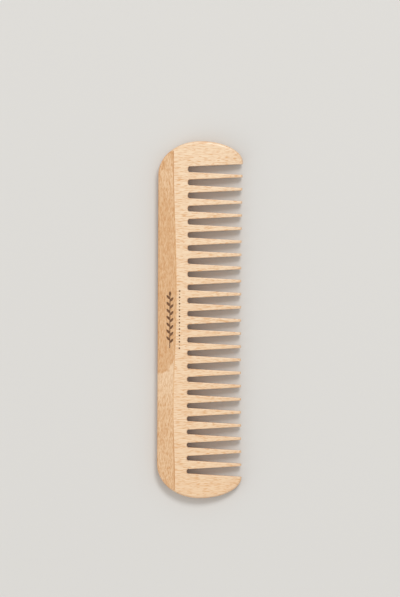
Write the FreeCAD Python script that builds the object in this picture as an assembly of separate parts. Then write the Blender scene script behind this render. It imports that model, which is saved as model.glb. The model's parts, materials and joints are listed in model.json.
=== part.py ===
"""A wide-toothed wooden hair comb, lying flat.

The teeth point along +X, the back runs along Y, and +Z is up. The origin is the middle of the
comb's outline, on the flat underside that it rests on. It is glued up from two pieces of wood: a
tooth plate with its grain along the teeth, and a spine strip with its grain along the back, which
stops the plate from splitting. The plate's tapered tongue is glued into the strip's groove.
All lengths are in millimetres.
"""

import FreeCAD, Part
import math
import os

Vector = FreeCAD.Vector

# Whole comb
LENGTH = 175.0
WIDTH = 41.4
THICKNESS = 6.0
BACK_CAP_HEIGHT = 16.5  # end's quarter ellipse on the spine side, along Y
TOOTH_CAP_HEIGHT = 10.3  # end's quarter ellipse on the tooth side, along Y
TIP_LINE_SAG = 0.55  # how far the row of tooth tips is hollowed in the middle
OUTER_ROUNDING = 1.2  # sanded edge all round the outline

# Thinning towards the tooth tips, the same on both faces
TAPER_START = 18.6  # from the back
TIP_THICKNESS = 3.0

# Teeth, given by the saw slots between them
SLOT_COUNT = 24
SLOT_PITCH = 6.435
SLOT_ROOT_DEPTH = 14.65  # from the back to the closed end of a slot
SLOT_SHIFT = -0.32  # the row of slots lies this much nearer the -Y end
SLOT_ROOT_WIDTH = 2.52  # at the middle slots
SLOT_ROOT_SPREAD = 0.35  # slots are this much wider at the +Y end and narrower at the other
SLOT_TIP_WIDTH = 5.22
SLOT_CORNER = 0.95  # rounding of the closed end's two corners
SLOT_ROUNDING = 0.3  # broken edges of the teeth

# Glued joint between the tooth plate and the spine strip
TONGUE_END = 3.4  # from the back
TONGUE_END_THICKNESS = 2.8
JOINT_LINE = 8.4  # mean distance of the visible joint from the back
GLUE_GAP = 0.3  # along X, so 0.1 thick across the sloping flanks
# The visible joint wanders along the sanded face: share of half the length, offset from the mean
JOINT_WANDER = (
    (-1.05, 0.6), (-0.85, 0.35), (-0.66, -0.2), (-0.5, -0.45), (-0.3, -0.1), (-0.1, 0.55),
    (0.15, 0.85), (0.4, 0.45), (0.63, -0.3), (0.85, -0.8), (1.05, -0.9),
)

# Burnt ornament, a leafy sprig on the strip and a row of dots on the plate
MARK_DEPTH = 0.1
MARK_LENGTH = 28.0
SPRIG_LINE = 6.0  # from the back
STEM_WIDTH = 0.45
LEAF_LENGTH = 2.7
LEAF_WIDTH = 1.15
LEAF_PAIRS = 7
LEAF_LEAN = 38.0  # degrees away from the stem
DOT_LINE = 10.7  # from the back
DOT_COUNT = 19
LARGE_DOT_RADIUS = 0.42
SMALL_DOT_RADIUS = 0.24

HALF_LENGTH = LENGTH / 2
HALF_WIDTH = WIDTH / 2
BACK = -HALF_WIDTH
MARGIN = 5.0  # how far a cutting solid reaches past what it cuts
FLANK_REACH = 1.0  # how far the joint's sloping flanks run on past both faces


def edge(start, end):
    """Straight edge between two points."""
    return Part.LineSegment(start, end).toShape()


def arc(start, middle, end):
    """Circular edge through three points."""
    return Part.Arc(start, middle, end).toShape()


def prism(edges, direction):
    """Closed outline pushed along a direction to a solid."""
    return Part.Face(Part.Wire(edges)).extrude(direction)


def cap_edge(height, first, last):
    """Quarter of an ellipse as wide as the comb, whose top is at the comb's end."""
    side = 1 if first < math.pi else -1
    centre = Vector(0, side * (HALF_LENGTH - height), 0)
    ellipse = Part.Ellipse(centre, HALF_WIDTH, height)
    return Part.ArcOfEllipse(ellipse, first, last).toShape()


def outline_prism():
    """The comb seen from above, without its slots."""
    quarter = math.pi / 2
    back_y = HALF_LENGTH - BACK_CAP_HEIGHT
    tip_y = HALF_LENGTH - TOOTH_CAP_HEIGHT
    edges = [
        edge(Vector(BACK, back_y, 0), Vector(BACK, -back_y, 0)),
        cap_edge(BACK_CAP_HEIGHT, 2 * quarter, 3 * quarter),
        cap_edge(TOOTH_CAP_HEIGHT, 3 * quarter, 4 * quarter),
        arc(
            Vector(HALF_WIDTH, -tip_y, 0),
            Vector(HALF_WIDTH - TIP_LINE_SAG, 0, 0),
            Vector(HALF_WIDTH, tip_y, 0),
        ),
        cap_edge(TOOTH_CAP_HEIGHT, 0, quarter),
        cap_edge(BACK_CAP_HEIGHT, quarter, 2 * quarter),
    ]
    return prism(edges, Vector(0, 0, THICKNESS))


def taper_rise(x):
    """Height that the underside has risen at x, on an arc that starts level."""
    run = WIDTH - TAPER_START
    drop = (THICKNESS - TIP_THICKNESS) / 2
    radius = (run**2 + drop**2) / (2 * drop)
    reach = max(0.0, x - (BACK + TAPER_START))
    return radius - math.sqrt(radius**2 - reach**2)


def taper_prism():
    """The comb seen from its end: flat faces that curve together towards the tips."""
    start = BACK + TAPER_START
    end = HALF_WIDTH + MARGIN
    middle = (start + end) / 2
    y = -HALF_LENGTH - MARGIN

    def low(x):
        return Vector(x, y, taper_rise(x))

    def high(x):
        return Vector(x, y, THICKNESS - taper_rise(x))

    edges = [
        edge(low(BACK - MARGIN), low(start)),
        arc(low(start), low(middle), low(end)),
        edge(low(end), high(end)),
        arc(high(end), high(middle), high(start)),
        edge(high(start), high(BACK - MARGIN)),
        edge(high(BACK - MARGIN), low(BACK - MARGIN)),
    ]
    return prism(edges, Vector(0, 2 * (HALF_LENGTH + MARGIN), 0))


def slot_cutter(y):
    """A slot with a rounded closed end and walls that open towards the tips."""
    root_half = (SLOT_ROOT_WIDTH + SLOT_ROOT_SPREAD * y / HALF_LENGTH) / 2
    root_x = BACK + SLOT_ROOT_DEPTH
    corner_x = root_x + SLOT_CORNER
    corner_half = root_half - SLOT_CORNER
    run = HALF_WIDTH - corner_x
    rise = SLOT_TIP_WIDTH / 2 - corner_half
    lean = math.atan2(rise, run) - math.asin(SLOT_CORNER / math.hypot(run, rise))
    end_x = HALF_WIDTH + MARGIN
    end_half = SLOT_TIP_WIDTH / 2 + MARGIN * math.tan(lean)
    turn = (math.pi / 2 - lean) / 2  # half of the turn from the closed end to a wall
    z = -MARGIN

    def corner(side, angle):
        """Point on the rounding of one corner, at an angle from the closed end."""
        x = corner_x - SLOT_CORNER * math.cos(angle)
        return Vector(x, y + side * (corner_half + SLOT_CORNER * math.sin(angle)), z)

    def end(side):
        """Corner of the open end."""
        return Vector(end_x, y + side * end_half, z)

    edges = [
        edge(corner(-1, 0), corner(1, 0)),
        arc(corner(1, 0), corner(1, turn), corner(1, 2 * turn)),
        edge(corner(1, 2 * turn), end(1)),
        edge(end(1), end(-1)),
        edge(end(-1), corner(-1, 2 * turn)),
        arc(corner(-1, 2 * turn), corner(-1, turn), corner(-1, 0)),
    ]
    return prism(edges, Vector(0, 0, THICKNESS + 2 * MARGIN))


def slot_positions():
    """The slots' centre lines along Y, evenly pitched."""
    first = SLOT_SHIFT - SLOT_PITCH * (SLOT_COUNT - 1) / 2
    return [first + SLOT_PITCH * i for i in range(SLOT_COUNT)]


def is_slot_wall(face):
    """True for a face that a slot cutter left: a tooth's flat side or part of a slot's closed end."""
    surface = face.Surface
    if isinstance(surface, Part.Plane):
        at_back = face.CenterOfMass.x < BACK + SLOT_ROOT_DEPTH / 2
        return abs(surface.Axis.z) < 0.01 and not at_back
    if isinstance(surface, Part.Cylinder):
        return abs(surface.Radius - SLOT_CORNER) < 0.01 and abs(surface.Axis.z) > 0.99
    return False


def slot_rim(shape):
    """Edges between a slot's walls and the rest of the comb."""
    walls = [face for face in shape.Faces if is_slot_wall(face)]
    shared = {}
    for wall in walls:
        for wall_edge in wall.Edges:
            shared.setdefault(wall_edge.hashCode(), []).append(wall_edge)
    return [edges[0] for edges in shared.values() if len(edges) == 1]


def outer_rim(shape):
    """Edges between the comb's side and its two faces."""
    rim = []
    for candidate in shape.Edges:
        middle = candidate.valueAt((candidate.FirstParameter + candidate.LastParameter) / 2)
        height = min(abs(middle.z - taper_rise(middle.x)),
                     abs(middle.z - THICKNESS + taper_rise(middle.x)))
        box = candidate.BoundBox
        crosses = box.XLength < 0.01 and abs(middle.x - (BACK + TAPER_START)) < 0.01
        upright = box.XLength < 0.01 and box.YLength < 0.01
        if height < 0.01 and not crosses and not upright:
            rim.append(candidate)
    return rim


def comb_body():
    """The finished shape of the whole comb, before it is divided into its pieces."""
    blank = outline_prism().common(taper_prism())
    blank = blank.makeFillet(OUTER_ROUNDING, outer_rim(blank))
    cutters = Part.makeCompound([slot_cutter(y) for y in slot_positions()])
    sawn = blank.cut(cutters).Solids[0]
    return sawn.makeFillet(SLOT_ROUNDING, slot_rim(sawn)).Solids[0]


def joint_section(share, offset, shift):
    """Outline of everything on the plate's side of the joint, at one place along the comb."""
    y = share * HALF_LENGTH
    end_x = BACK + TONGUE_END - shift
    face_x = BACK + JOINT_LINE + offset - shift
    far_x = HALF_WIDTH + MARGIN
    middle = THICKNESS / 2
    end_half = TONGUE_END_THICKNESS / 2
    slope = (face_x - end_x) / (middle - end_half)
    open_half = middle + FLANK_REACH
    open_x = end_x + slope * (open_half - end_half)
    corners = [
        Vector(end_x, y, middle - end_half),
        Vector(end_x, y, middle + end_half),
        Vector(open_x, y, middle + open_half),
        Vector(far_x, y, middle + open_half),
        Vector(far_x, y, middle - open_half),
        Vector(open_x, y, middle - open_half),
    ]
    return Part.makePolygon(corners + corners[:1])


def joint_region(shift):
    """Solid that holds the plate and its tongue, grown by shift towards the back."""
    sections = [joint_section(share, offset, shift) for share, offset in JOINT_WANDER]
    return Part.makeLoft(sections, True, False)


def leaf_cutter(x, y, angle):
    """Pointed leaf between two arcs, with its stalk end at x, y."""
    depth = THICKNESS - MARK_DEPTH
    stalk = Vector(0, 0, depth)
    tip = Vector(LEAF_LENGTH, 0, depth)
    half = LEAF_WIDTH / 2
    edges = [
        arc(stalk, Vector(LEAF_LENGTH / 2, half, depth), tip),
        arc(tip, Vector(LEAF_LENGTH / 2, -half, depth), stalk),
    ]
    leaf = prism(edges, Vector(0, 0, MARGIN))
    leaf.rotate(Vector(0, 0, 0), Vector(0, 0, 1), angle)
    leaf.translate(Vector(x, y, 0))
    return leaf


def sprig_cutters():
    """Stem with pairs of leaves that lean towards its tip, and one leaf at the tip."""
    x = BACK + SPRIG_LINE
    bottom = -MARK_LENGTH / 2
    stem_top = MARK_LENGTH / 2 - LEAF_LENGTH
    stem = Part.makeBox(
        STEM_WIDTH,
        stem_top - bottom + STEM_WIDTH,
        MARGIN,
        Vector(x - STEM_WIDTH / 2, bottom, THICKNESS - MARK_DEPTH),
    )
    cutters = [stem, leaf_cutter(x, stem_top, 90)]
    spacing = (stem_top - bottom) / (LEAF_PAIRS + 0.5)
    for i in range(LEAF_PAIRS):
        y = bottom + spacing * (i + 0.75)
        cutters.append(leaf_cutter(x, y, 90 - LEAF_LEAN))
        cutters.append(leaf_cutter(x, y + spacing / 3, 90 + LEAF_LEAN))
    return cutters


def dot_cutters():
    """Row of alternating large and small dots beside the sprig."""
    cutters = []
    for i in range(DOT_COUNT):
        radius = SMALL_DOT_RADIUS if i % 2 else LARGE_DOT_RADIUS
        y = MARK_LENGTH * (i / (DOT_COUNT - 1) - 0.5)
        place = Vector(BACK + DOT_LINE, y, THICKNESS - MARK_DEPTH)
        cutters.append(Part.makeCylinder(radius, MARGIN, place))
    return cutters


def main():
    os.makedirs("parts", exist_ok=True)
    body = comb_body()
    plate_side = joint_region(0.0)
    glue_side = joint_region(GLUE_GAP)
    pieces = {
        "tooth_plate": body.common(plate_side).cut(Part.makeCompound(dot_cutters())),
        "glue_line": body.common(glue_side).cut(plate_side),
        "spine_strip": body.cut(glue_side).cut(Part.makeCompound(sprig_cutters())),
    }
    for name, shape in pieces.items():
        shape = shape.removeSplitter()
        volume = round(shape.Volume, 1)
        print(name, "solids", len(shape.Solids), "valid", shape.isValid(), "mm3", volume)
        shape.exportStep(f"parts/{name}.step")


main()
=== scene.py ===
"""Studio picture of a wooden hair comb that lies flat, with the looks of its three pieces.

The comb is a beech tooth plate, a darker beech spine strip and the film of glue between them.
Every length in the wood is in millimetres, and Blender's own units are metres.
"""

import json
import math

import bmesh
import bpy
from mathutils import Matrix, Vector


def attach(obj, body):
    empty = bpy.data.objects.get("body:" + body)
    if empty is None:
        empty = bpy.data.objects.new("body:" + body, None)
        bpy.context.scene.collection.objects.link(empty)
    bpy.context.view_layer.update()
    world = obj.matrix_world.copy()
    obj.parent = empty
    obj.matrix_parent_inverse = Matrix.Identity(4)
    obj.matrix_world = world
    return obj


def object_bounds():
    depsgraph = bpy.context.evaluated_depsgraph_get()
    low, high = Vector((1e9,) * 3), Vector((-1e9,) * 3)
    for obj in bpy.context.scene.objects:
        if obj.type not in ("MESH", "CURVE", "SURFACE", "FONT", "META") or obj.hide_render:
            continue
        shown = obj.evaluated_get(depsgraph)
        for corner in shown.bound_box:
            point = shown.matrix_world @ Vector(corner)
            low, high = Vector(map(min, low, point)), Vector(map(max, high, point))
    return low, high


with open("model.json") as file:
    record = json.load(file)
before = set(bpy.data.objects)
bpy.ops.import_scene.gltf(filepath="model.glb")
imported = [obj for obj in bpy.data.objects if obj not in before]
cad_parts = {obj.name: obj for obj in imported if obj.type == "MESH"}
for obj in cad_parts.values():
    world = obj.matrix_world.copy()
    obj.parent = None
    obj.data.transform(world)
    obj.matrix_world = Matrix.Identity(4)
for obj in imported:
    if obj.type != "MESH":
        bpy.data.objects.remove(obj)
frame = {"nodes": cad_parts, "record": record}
cad_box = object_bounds()

MM = 0.001
COMB_LOW, COMB_HIGH = cad_box
BACK = COMB_LOW.x / MM  # the comb's back edge
HALF_LENGTH = COMB_HIGH.y / MM
TOP = COMB_HIGH.z / MM  # its upper face

# Camera: straight above, long lens, the comb a little below the picture's middle
FRAME_HEIGHT = 0.2924  # what the picture's long side spans
LENS = 250.0
SENSOR = 36.0
VIEW_RISE = 0.01037  # how far the comb's middle lies below the picture's
VIEW_ROLL = math.radians(0.25)

# Marks burnt into the wood
MARK_DEPTH = 0.1
CHAR_THICKNESS = 0.03
MICRON = 0.001  # heights in the CAD mesh agree this closely

# Features of this comb's wood, in millimetres
SLOT_END = BACK + 14.65  # where the slots' closed ends lie
SLOT_RADIUS = 1.26  # half a slot's width there
SCORCH_AND_SHADE_FRINGE = 0.75  # how far the browning and painted shade reach past a closed end
SCORCH_AND_SHADE_FADE = (1.4, 0.4)  # along the slot they are gone this far past the closed end, and full this far
SCORCH_AND_SHADE_SHARE = 0.55
TIP_SHADE_SPAN = (8.0, 20.5)  # painted shade where the teeth's faces curve down to the tips: the teeth turn a little darker over this stretch of X
TIP_SHADE_SHARE = 0.13
DUSKY_END = (-70.0, -84.0)  # the plate turns a little darker over this stretch of Y
FIGURE_BACK = -26.4  # on the strip, dark wood ends here at the back edge
FIGURE_RISE = 9.4  # and this much further on at the joint
FIGURE_BEND = 3.0  # power of the rise from the back to the joint
FIGURE_WOBBLE = 3.0  # how far that edge of the dark wood wanders
FIGURE_SOFTNESS = (0.6, -0.9)  # it turns from dark to pale over this stretch across the edge
FIGURE_PATCHES = (2.0, 5.0, 1.0)  # sizes of the noise that it wanders with
JOINT_FROM_BACK = 8.9  # the strip's width there
PALE_END = (-46.0, -22.0)  # where the pale wood below it fades out
PALE_SHARE = 0.32  # how much of the plate's light colour it takes on
BLOTCHES = ((-14.0, 80.5, 2.0, 4.0), (-17.9, 75.5, 1.4, 3.6))  # x, y, half width, half length
CURVE_REACH = 10.0  # the joint's curve runs from 0 to 1 over this stretch from the back
STAIN_START = (44.0, 62.0)  # the glue darkens over this stretch from the middle
STAIN_WIDTH = (0.55, 0.1)  # on the strip beside the joint, it fades in over this stretch
STAIN_SHARE = 0.8
DUST_PATCHES = (1.0, 4.0, 1.0)
DUST_RANGE = (0.35, 0.65)
DUST_SHARES = (0.6, 0.25)  # of the joint's ends and of the patches

# How dark the wood is from place to place. Negative is paler.
PLATE_PALER = 0.05
PLATE_WARMTH = 0.2  # at the -Y end
DUSKY_SHADE = 0.2
PALE_SHADE = -0.85
STRIP_ENDS = ((-0.3, 55.0, 72.0), (-0.22, -26.0, -44.0))  # shade, and the stretch of Y it grows over
BLOTCH_SHADE = 0.4
BLOTCH_CORE = 0.2  # share of a blotch's reach that is at full strength

# How a place's figure, relief and roughness are made up
FIGURE_SHARES = (0.25, 0.2, 0.9, 0.35)  # of the tone, rings, streaks and fibres
FIGURE_RANGE = (0.45, 1.25)  # the figure at which wood is all light, and all dark
RELIEF_SHARES = (1.0, -0.35, -0.3, -0.5)  # of the fibres, strokes, large flecks and pores
RELIEF_DEPTH = 0.016
RELIEF_STRENGTH = 0.6
ROUGHNESS = 0.26
PLATE_SPECULAR = 0.55
SPINE_SPECULAR = 0.45
ROUGHNESS_SHARES = (-0.05, 0.10, 0.14, 0.1)  # of the strokes, fibres, end grain and pores
END_GRAIN_SHARE = 0.3
END_GRAIN_TURN = (0.55, 0.98)  # end grain shows as the fibres' share of the normal rises over this
ROUNDING_TURN = (0.95, 0.70)  # and the painted shade on the roundings grows as the upright share falls over this
PORE_RANGE = (0.6, 0.78)
FLECK_CORE = 0.4  # share of a fleck's reach that is at full strength
FLECK_RANGE = (-0.4, 0.9)  # a cell's chance, from 0 to 1, gives strength 0 at the first and 1 at the second
RIPPLE_SHIFT = (31.0, 17.0, 5.0)  # the noise that breaks the ripples is taken this far away
RIPPLE_BREAKS = (0.40, 0.58)

# Glue and char: grain sizes, the noise over which the colour turns, roughness range and relief
GLUE_GRIT = (0.5, 0.9, 0.5)
GLUE_TURN = (0.45, 0.75)
GLUE_ROUGHNESS = (-0.6, 1.4)
GLUE_RELIEF = (0.02, 0.5)
CHAR_PATCHES = (0.35, 0.5, 0.35)
CHAR_TURN = (0.35, 0.7)
CHAR_ROUGHNESS = (-1.2, 0.9)
CHAR_RELIEF = (0.03, 0.8)

# Studio
FLOOR_HALF = 3.0
FLOOR_COLOUR = (0.62, 0.61, 0.59)
FLOOR_ROUGHNESS = 0.8
LIGHT_DISTANCE = 4.0
KEY_DIRECTION = (0.31, 0.86, 1.26)
KEY_SIZE = 1.3
KEY_POWER = 74.0
FILL_DIRECTION = (-1.0, -0.75, 0.45)
FILL_SIZE = 2.5
FILL_POWER = 26.0
SKY_COLOUR = (1.0, 0.99, 0.97, 1.0)
SKY_STRENGTH = 0.74

# Wood colours, linear
PLATE_LIGHT = (0.825, 0.655, 0.470)
PLATE_DARK = (0.77, 0.550, 0.350)
PLATE_FLECK = (0.63, 0.325, 0.130)
SPINE_LIGHT = (0.735, 0.508, 0.308)
SPINE_DARK = (0.58, 0.320, 0.140)
SPINE_FLECK = (0.50, 0.225, 0.070)
PLATE_ROUNDING_SHADE = (0.95, 0.90, 0.87)  # painted shade and warm bounce light on the roundings, a little darker than the flat faces: these multiply the colour
SPINE_ROUNDING_SHADE = (1.0, 0.90, 0.80)
END_GRAIN = (0.50, 0.29, 0.145)
# browning at the slots' closed ends: partly real scorch, partly painted shade on their rims
SCORCH_AND_SHADE = (0.30, 0.14, 0.07)
GLUE_DARK = (0.46, 0.205, 0.070)
GLUE_PALE = (0.70, 0.42, 0.20)
CHAR_BROWN = (0.20, 0.095, 0.042)
CHAR_BLACK = (0.09, 0.040, 0.018)


class Shader:
    """A material's nodes, with a short call for each kind that the materials share."""

    def __init__(self, name):
        self.material = bpy.data.materials.new(name)
        self.material.use_nodes = True
        self.tree = self.material.node_tree
        self.surface = self.tree.nodes["Principled BSDF"]
        self.place = self.tree.nodes.new("ShaderNodeTexCoord")

    def put(self, socket, value):
        """Links another node's socket to this one, or sets a plain value on it."""
        if isinstance(value, bpy.types.NodeSocket):
            self.tree.links.new(value, socket)
        elif isinstance(value, tuple) and len(value) == 3 and socket.type == "RGBA":
            socket.default_value = (*value, 1.0)
        else:
            socket.default_value = value

    def node(self, kind, inputs, **settings):
        """A new node with these inputs and settings."""
        made = self.tree.nodes.new("ShaderNode" + kind)
        for key, value in settings.items():
            setattr(made, key, value)
        for key, value in inputs.items():
            self.put(made.inputs[key], value)
        return made

    def math(self, operation, first, second=0.0):
        """What one operation on numbers gives."""
        return self.node("Math", {0: first, 1: second}, operation=operation).outputs[0]

    def parts(self, vector):
        """A vector's three numbers."""
        return self.node("SeparateXYZ", {0: vector}).outputs

    def join(self, x, y, z):
        """A vector from three numbers."""
        return self.node("CombineXYZ", {0: x, 1: y, 2: z}).outputs[0]

    def stretch(self, point, sizes):
        """The point measured in steps of the given sizes, one for each direction."""
        scale = tuple(1 / size for size in sizes)
        return self.node("VectorMath", {0: point, 1: scale}, operation="MULTIPLY").outputs[0]

    def noise(self, point, sizes, detail=2.0):
        """Soft noise from 0 to 1, with patches of the given sizes."""
        inputs = {"Vector": self.stretch(point, sizes), "Scale": 1.0, "Detail": detail}
        return self.node("TexNoise", inputs).outputs[0]

    def ease(self, value, low, high):
        """0 below low, 1 above high, and smooth between them."""
        inputs = {"Value": value, "From Min": low, "From Max": high}
        return self.node("MapRange", inputs, interpolation_type="SMOOTHSTEP").outputs[0]

    def ease_line(self, value, low, high):
        """0 at low and 1 at high, in a straight line."""
        inputs = {"Value": value, "From Min": low, "From Max": high}
        return self.node("MapRange", inputs).outputs[0]

    def mix(self, share, first, second):
        """The first colour turning into the second."""
        made = self.node("Mix", {}, data_type="RGBA")
        self.put(made.inputs["Factor"], share)
        self.put(made.inputs[6], first)
        self.put(made.inputs[7], second)
        return made.outputs[2]

    def bump(self, height, depth_mm, strength=1.0):
        """Bends the surface's shading by a height from 0 to 1, over a real depth."""
        inputs = {"Height": height, "Distance": depth_mm * MM, "Strength": strength}
        made = self.node("Bump", inputs)
        self.put(self.surface.inputs["Normal"], made.outputs[0])


def comb_point(shader):
    """Place in the comb, in millimetres."""
    scale = (1 / MM, 1 / MM, 1 / MM)
    inputs = {0: shader.place.outputs["Object"], 1: scale}
    return shader.node("VectorMath", inputs, operation="MULTIPLY").outputs[0]


def wavy(shader, point, swing, sizes):
    """The point with its second number, across the fibres, swung to and fro by soft noise."""
    along, across, through = shader.parts(point)
    shift = shader.math("SUBTRACT", shader.noise(point, sizes, 1.0), 0.5)
    across = shader.math("ADD", across, shader.math("MULTIPLY", shift, 2 * swing))
    return shader.join(along, across, through)


def spindles(shader, point, spacing, smallest, largest):
    """Ray flecks: spindles along the fibres, one to a cell, from faint and short to strong and long.

    The sizes are shares of the spacing between the flecks.
    """
    inputs = {"Vector": shader.stretch(point, spacing), "Scale": 1.0}
    cells = shader.node("TexVoronoi", inputs, voronoi_dimensions="3D")
    chance = shader.node("SeparateColor", {0: cells.outputs["Color"]}).outputs[0]
    inputs = {"Value": chance, "To Min": smallest, "To Max": largest}
    reach = shader.node("MapRange", inputs).outputs[0]
    core = shader.math("MULTIPLY", reach, FLECK_CORE)
    body = shader.ease(cells.outputs["Distance"], reach, core)
    return shader.math("MULTIPLY", body, shader.ease(chance, *FLECK_RANGE))


def ripples(shader, point, sizes, width):
    """Thin wavy lines along the fibres, where soft noise crosses its middle, broken here and there."""
    level = shader.math("SUBTRACT", shader.noise(point, sizes, 1.0), 0.5)
    line = shader.ease(shader.math("ABSOLUTE", level), width, 0.0)
    moved = shader.node("VectorMath", {0: point, 1: RIPPLE_SHIFT}, operation="ADD").outputs[0]
    whole = shader.ease(shader.noise(moved, sizes, 1.0), *RIPPLE_BREAKS)
    return shader.math("MULTIPLY", line, whole)


def dashes(shader, point, sizes, start, full):
    """Irregular strokes along the fibres, where noise rises from start to full."""
    return shader.ease(shader.noise(point, sizes, 1.0), start, full)


def end_grain(shader, axis):
    """How squarely the surface cuts across the fibres, which run along one axis."""
    across = shader.math("ABSOLUTE", shader.parts(shader.place.outputs["Normal"])[axis])
    return shader.ease(across, *END_GRAIN_TURN)


def rounding_shade_share(shader):
    """0 on the comb's flat faces, rising to 1 where its roundings turn away from them: where the painted
    shade on the roundings goes.
    """
    upright = shader.math("ABSOLUTE", shader.parts(shader.place.outputs["Normal"])[2])
    return shader.ease(upright, *ROUNDING_TURN)


def total(shader, *terms):
    """Sum of (amount, value) pairs."""
    result = 0.0
    for amount, value in terms:
        result = shader.math("ADD", result, shader.math("MULTIPLY", value, amount))
    return result


def wood(shader, point, axis, shade, colours, grain):
    """Colour, roughness and relief that the two beech pieces share. Returns the colour.

    The shade is how dark the piece is from place to place, about 0, before its grain is added.
    """
    light, dark, fleck, edge = colours
    tone = shader.noise(point, grain["tone"], 3.0)
    rings = shader.noise(point, grain["rings"], 2.0)
    streaks = shader.noise(point, grain["streaks"], 2.0)
    fibres = shader.noise(point, grain["fibres"], 3.0)
    pores = shader.ease(shader.noise(point, grain["pores"], 2.0), *PORE_RANGE)
    large = spindles(shader, point, *grain["spindles"])
    strokes = dashes(shader, point, *grain["dashes"])
    small = spindles(shader, point, *grain["small_spindles"])
    lines = ripples(shader, point, *grain["ripples"])
    layers = zip(FIGURE_SHARES, (tone, rings, streaks, fibres))
    figure = total(shader, *layers, (1.0, shade))
    colour = shader.mix(shader.ease(figure, *FIGURE_RANGE), light, dark)
    for strength, mask in zip(grain["strengths"], (large, small, strokes, lines, pores)):
        colour = shader.mix(shader.math("MULTIPLY", mask, strength), colour, fleck)
    cut = end_grain(shader, axis)
    colour = shader.mix(shader.math("MULTIPLY", cut, END_GRAIN_SHARE), colour, END_GRAIN)
    # Painted shade and warm bounce light: the roundings' colour is multiplied by the edge tint where they
    # turn away from the flat faces.
    rounding_shaded = shader.node("Mix", {}, data_type="RGBA", blend_type="MULTIPLY")
    shader.put(rounding_shaded.inputs["Factor"], rounding_shade_share(shader))
    shader.put(rounding_shaded.inputs[6], colour)
    shader.put(rounding_shaded.inputs[7], edge)
    colour = rounding_shaded.outputs[2]
    height = total(shader, *zip(RELIEF_SHARES, (fibres, strokes, large, pores)))
    dulled = total(shader, *zip(ROUGHNESS_SHARES, (strokes, fibres, cut, pores)))
    shader.put(shader.surface.inputs["Roughness"], shader.math("ADD", dulled, ROUGHNESS))
    shader.bump(height, RELIEF_DEPTH, RELIEF_STRENGTH)
    return colour


# Sizes are along, across and through the fibres. Each swing is how far the fibres stray, and over what
# sizes. The strengths are those of the large flecks, small flecks, dashes, ripples and pores.
PLATE_GRAIN = {
    "swings": ((1.3, (18.0, 9.0, 30.0)), (0.2, (4.5, 2.0, 5.0))),
    "tone": (45.0, 9.0, 9.0),
    "rings": (50.0, 1.5, 3.0),
    "streaks": (9.0, 0.36, 0.6),
    "fibres": (2.2, 0.12, 0.2),
    "pores": (1.0, 0.07, 0.07),
    "spindles": ((4.6, 0.48, 0.6), 0.20, 0.42),
    "small_spindles": ((3.4, 0.38, 0.5), 0.20, 0.42),
    "dashes": ((5.0, 0.26, 0.4), 0.52, 0.66),
    "ripples": ((10.0, 1.0, 1.6), 0.05),
    "strengths": (1.00, 1.00, 0.40, 0.70, 0.30),
}
SPINE_GRAIN = {
    "swings": ((0.6, (30.0, 10.0, 30.0)), (0.07, (3.0, 1.2, 4.0))),
    "tone": (25.0, 4.0, 5.0),
    "rings": (45.0, 1.3, 2.5),
    "streaks": (5.0, 0.36, 0.6),
    "fibres": (2.4, 0.12, 0.2),
    "pores": (1.2, 0.07, 0.07),
    "spindles": ((3.4, 0.38, 0.6), 0.20, 0.50),
    "small_spindles": ((1.9, 0.28, 0.45), 0.22, 0.50),
    "dashes": ((2.4, 0.26, 0.4), 0.50, 0.64),
    "ripples": ((5.0, 1.0, 1.5), 0.05),
    "strengths": (0.80, 0.80, 0.55, 0.50, 0.25),
}


def plate_material():
    """Pale beech with its fibres along the teeth, a little warmer towards the -Y end."""
    shader = Shader("pale_beech")
    point = comb_point(shader)
    x, y = shader.parts(point)[:2]
    for swing, sizes in PLATE_GRAIN["swings"]:
        point = wavy(shader, point, swing, sizes)
    warmth = shader.ease(y, HALF_LENGTH, -HALF_LENGTH)
    dusky = shader.ease(y, *DUSKY_END)
    shade = total(shader, (PLATE_WARMTH, warmth), (DUSKY_SHADE, dusky))
    shade = shader.math("SUBTRACT", shade, PLATE_PALER)
    colours = (PLATE_LIGHT, PLATE_DARK, PLATE_FLECK, PLATE_ROUNDING_SHADE)
    colour = wood(shader, point, 0, shade, colours, PLATE_GRAIN)
    # Painted shade towards the tips, where the faces curve down: mixed towards the end-grain colour.
    tip_shade = shader.math("MULTIPLY", shader.ease(x, *TIP_SHADE_SPAN), TIP_SHADE_SHARE)
    colour = shader.mix(tip_shade, colour, END_GRAIN)
    # Partly real scorch, partly painted shade on the rims of the slots' closed ends.
    colour = shader.mix(slot_scorch_and_shade(shader, x, y), colour, SCORCH_AND_SHADE)
    shader.put(shader.surface.inputs["Base Color"], colour)
    shader.put(shader.surface.inputs["Specular IOR Level"], PLATE_SPECULAR)
    return shader.material


def slot_middles():
    """The slots' centre lines along Y, in millimetres, from the openings that the record gives."""
    boxes = [gap["box_m"] for gap in frame["record"]["physics"]["openings"]]
    return sorted((low[1] + high[1]) / 2 / MM for low, high in boxes)


def slot_offset(shader, y):
    """Distance from the nearest slot's centre line, in millimetres."""
    middles = slot_middles()
    reach = (middles[-1] - middles[0]) / 2
    pitch = 2 * reach / (len(middles) - 1)
    from_centre = shader.math("SUBTRACT", y, middles[0] + reach)
    folded = shader.math("PINGPONG", shader.math("ADD", from_centre, reach), pitch / 2)
    beyond = shader.math("SUBTRACT", shader.math("ABSOLUTE", from_centre), reach)
    return shader.math("MAXIMUM", folded, beyond)


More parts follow.
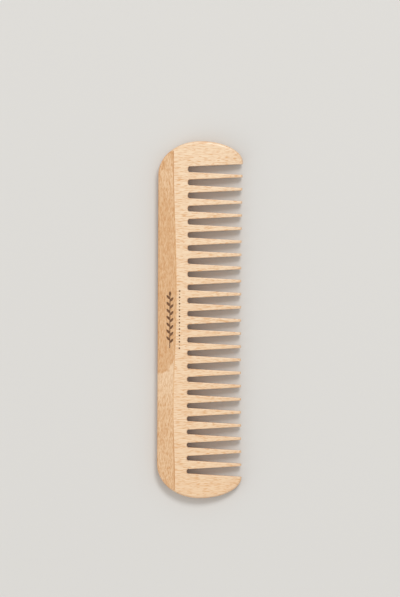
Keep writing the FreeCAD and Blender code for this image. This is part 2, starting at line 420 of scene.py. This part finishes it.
def slot_scorch_and_shade(shader, x, y):
    """Browning where the cutter rubbed the slots' closed ends, with painted shade on their rims, and a soft
    fringe round them.
    """
    from_middle = shader.math("SUBTRACT", x, SLOT_END + SLOT_RADIUS)
    offset = shader.join(from_middle, slot_offset(shader, y), 0.0)
    distance = shader.node("VectorMath", {0: offset}, operation="LENGTH").outputs["Value"]
    fringe = shader.ease(distance, SLOT_RADIUS + SCORCH_AND_SHADE_FRINGE, SLOT_RADIUS)
    open_side, closed_side = SCORCH_AND_SHADE_FADE
    closed_end = shader.ease(x, SLOT_END + open_side, SLOT_END + closed_side)
    return shader.math("MULTIPLY", shader.math("MULTIPLY", fringe, closed_end), SCORCH_AND_SHADE_SHARE)


def pale_wood(shader, x, y):
    """Pale wood on the strip: it starts at a slanting edge and fades out towards the -Y end."""
    from_back = shader.math("MAXIMUM", shader.math("SUBTRACT", x, BACK), 0.0)
    share = shader.math("DIVIDE", from_back, JOINT_FROM_BACK)
    rise = shader.math("MULTIPLY", shader.math("POWER", share, FIGURE_BEND), FIGURE_RISE)
    soft = shader.noise(shader.join(x, y, 0.0), FIGURE_PATCHES)
    wobble = shader.math("MULTIPLY", soft, FIGURE_WOBBLE)
    edge = shader.math("ADD", shader.math("ADD", rise, wobble), FIGURE_BACK - FIGURE_WOBBLE / 2)
    beyond = shader.ease(shader.math("SUBTRACT", y, edge), *FIGURE_SOFTNESS)
    return shader.math("MULTIPLY", beyond, shader.ease(y, *PALE_END))


def spine_figure(shader, x, y, pale):
    """How dark the strip is: paler in its pale wood and towards both ends, darker in its blotches."""
    near_ends = [(amount, shader.ease(y, start, full)) for amount, start, full in STRIP_ENDS]
    shade = total(shader, (PALE_SHADE, pale), *near_ends)
    for across, along, half_width, half_length in BLOTCHES:
        offset = shader.join(
            shader.math("DIVIDE", shader.math("SUBTRACT", x, across), half_width),
            shader.math("DIVIDE", shader.math("SUBTRACT", y, along), half_length),
            0.0,
        )
        distance = shader.node("VectorMath", {0: offset}, operation="LENGTH").outputs["Value"]
        shade = total(shader, (1.0, shade), (BLOTCH_SHADE, shader.ease(distance, 1.0, BLOTCH_CORE)))
    return shade


def joint_place():
    """The joint line on the upper face, from the CAD glue film: (y, x) points in millimetres."""
    film = frame["nodes"]["glue_line"].data
    rows = {}
    for vertex in film.vertices:
        if vertex.co.z > (TOP - 10 * MICRON) * MM:
            rows.setdefault(round(vertex.co.y / MM, 1), []).append(vertex.co.x / MM)
    return [(y, sum(found) / len(found)) for y, found in sorted(rows.items())]


def joint_distance(shader, x, y):
    """How far a place lies to the back of the joint line, in millimetres."""
    places = joint_place()
    curve = shader.node("FloatCurve", {"Value": shader.ease_line(y, places[0][0], places[-1][0])})
    mapping = curve.mapping
    mapping.use_clip = False
    points = mapping.curves[0].points
    span = places[-1][0] - places[0][0]
    wanted = [((y_mm - places[0][0]) / span, (x_mm - BACK) / CURVE_REACH) for y_mm, x_mm in places]
    points[0].location = wanted[0]
    points[1].location = wanted[-1]
    for location in wanted[1:-1]:
        points.new(*location)
    for point in points:
        point.handle_type = "VECTOR"
    mapping.update()
    joint_x = shader.math("ADD", shader.math("MULTIPLY", curve.outputs[0], CURVE_REACH), BACK)
    return shader.math("SUBTRACT", joint_x, x)


def joint_darkness(shader, y):
    """How much glue and dust have darkened the joint: most near both ends, in patches."""
    ends = shader.ease(shader.math("ABSOLUTE", y), *STAIN_START)
    patches = shader.ease(shader.noise(shader.join(0.0, y, 0.0), DUST_PATCHES), *DUST_RANGE)
    return total(shader, *zip(DUST_SHARES, (ends, patches)))


def spine_material():
    """Darker beech with its fibres along the comb's back."""
    shader = Shader("tan_beech")
    x, y, z = shader.parts(comb_point(shader))
    point = shader.join(y, x, z)
    for swing, sizes in SPINE_GRAIN["swings"]:
        point = wavy(shader, point, swing, sizes)
    colours = (SPINE_LIGHT, SPINE_DARK, SPINE_FLECK, SPINE_ROUNDING_SHADE)
    pale = pale_wood(shader, x, y)
    colour = wood(shader, point, 1, spine_figure(shader, x, y, pale), colours, SPINE_GRAIN)
    colour = shader.mix(shader.math("MULTIPLY", pale, PALE_SHARE), colour, PLATE_LIGHT)
    near = shader.ease(joint_distance(shader, x, y), *STAIN_WIDTH)
    stain = shader.math("MULTIPLY", near, joint_darkness(shader, y))
    colour = shader.mix(shader.math("MULTIPLY", stain, STAIN_SHARE), colour, GLUE_DARK)
    shader.put(shader.surface.inputs["Base Color"], colour)
    shader.put(shader.surface.inputs["Specular IOR Level"], SPINE_SPECULAR)
    return shader.material


def glue_material():
    """Dried glue, sanded flush: amber, and browner where it has soaked up dust."""
    shader = Shader("dried_glue")
    point = comb_point(shader)
    y = shader.parts(point)[1]
    grit = shader.noise(point, GLUE_GRIT, 3.0)
    colour = shader.mix(joint_darkness(shader, y), GLUE_PALE, GLUE_DARK)
    colour = shader.mix(shader.ease(grit, *GLUE_TURN), colour, GLUE_DARK)
    shader.put(shader.surface.inputs["Base Color"], colour)
    shader.put(shader.surface.inputs["Roughness"], shader.ease(grit, *GLUE_ROUGHNESS))
    shader.bump(grit, *GLUE_RELIEF)
    return shader.material


def char_material():
    """Wood burnt by a laser: dull brown, blacker and rougher in patches."""
    shader = Shader("burnt_wood")
    point = comb_point(shader)
    patches = shader.noise(point, CHAR_PATCHES, 4.0)
    colour = shader.mix(shader.ease(patches, *CHAR_TURN), CHAR_BROWN, CHAR_BLACK)
    shader.put(shader.surface.inputs["Base Color"], colour)
    shader.put(shader.surface.inputs["Roughness"], shader.ease(patches, *CHAR_ROUGHNESS))
    shader.bump(patches, *CHAR_RELIEF)
    return shader.material


def dress(node, material):
    """Gives a CAD node its finished material."""
    slots = frame["nodes"][node].material_slots
    for slot in slots:
        slot.material = material


def burnt_layer(name, node, material):
    """Char in the bottom of the marks cut into a CAD node: a thin layer over their flat floors."""
    source = frame["nodes"][node].data
    floor = (TOP - MARK_DEPTH) * MM
    shape = bmesh.new()
    copies = {}
    for polygon in source.polygons:
        corners = [source.vertices[i].co for i in polygon.vertices]
        if all(abs(corner.z - floor) < MICRON * MM for corner in corners):
            ring = []
            for corner in corners:
                key = tuple(round(value / (MICRON * MM)) for value in corner)
                if key not in copies:
                    copies[key] = shape.verts.new(corner)
                ring.append(copies[key])
            shape.faces.new(ring)
    raised = bmesh.ops.extrude_face_region(shape, geom=shape.faces[:])["geom"]
    for vertex in [part for part in raised if isinstance(part, bmesh.types.BMVert)]:
        vertex.co.z += CHAR_THICKNESS * MM
    bmesh.ops.recalc_face_normals(shape, faces=shape.faces[:])
    mesh = bpy.data.meshes.new(name)
    shape.to_mesh(mesh)
    shape.free()
    mesh.materials.append(material)
    piece = bpy.data.objects.new(name, mesh)
    bpy.context.scene.collection.objects.link(piece)
    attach(piece, "root")


def make_floor():
    """Plain pale surface that the comb lies on."""
    mesh = bpy.data.meshes.new("floor")
    turns = ((-1, -1), (1, -1), (1, 1), (-1, 1))
    corners = [(x * FLOOR_HALF, y * FLOOR_HALF, 0) for x, y in turns]
    mesh.from_pydata(corners, [], [(0, 1, 2, 3)])
    shader = Shader("floor")
    shader.put(shader.surface.inputs["Base Color"], FLOOR_COLOUR)
    shader.put(shader.surface.inputs["Roughness"], FLOOR_ROUGHNESS)
    mesh.materials.append(shader.material)
    floor = bpy.data.objects.new("floor", mesh)
    bpy.context.scene.collection.objects.link(floor)


def make_light(name, direction, size, power):
    """Square soft light that faces the comb."""
    lamp = bpy.data.lights.new(name, "AREA")
    lamp.size = size
    lamp.energy = power
    light = bpy.data.objects.new(name, lamp)
    light.location = Vector(direction).normalized() * LIGHT_DISTANCE
    light.rotation_euler = (-light.location).to_track_quat("-Z", "Y").to_euler()
    bpy.context.scene.collection.objects.link(light)


def make_lights():
    """A soft key light from the +X, +Y side, a weak fill opposite it, and an even sky."""
    make_light("key", KEY_DIRECTION, KEY_SIZE, KEY_POWER)
    make_light("fill", FILL_DIRECTION, FILL_SIZE, FILL_POWER)
    world = bpy.data.worlds.new("studio")
    world.use_nodes = True
    sky = world.node_tree.nodes["Background"]
    sky.inputs["Color"].default_value = SKY_COLOUR
    sky.inputs["Strength"].default_value = SKY_STRENGTH
    bpy.context.scene.world = world


def make_camera():
    """Camera straight above the comb, with the back to the left."""
    data = bpy.data.cameras.new("camera")
    data.lens = LENS
    data.sensor_width = SENSOR
    camera = bpy.data.objects.new("camera", data)
    distance = FRAME_HEIGHT * LENS / SENSOR
    camera.location = (0.0, VIEW_RISE, distance + COMB_HIGH.z)
    camera.rotation_euler = (0.0, 0.0, VIEW_ROLL)
    bpy.context.scene.collection.objects.link(camera)
    bpy.context.scene.camera = camera


make_camera()
make_floor()
make_lights()
bpy.context.scene.view_settings.view_transform = "Standard"
dress("tooth_plate", plate_material())
dress("spine_strip", spine_material())
dress("glue_line", glue_material())
char = char_material()
burnt_layer("burnt_sprig", "spine_strip", char)
burnt_layer("burnt_dots", "tooth_plate", char)
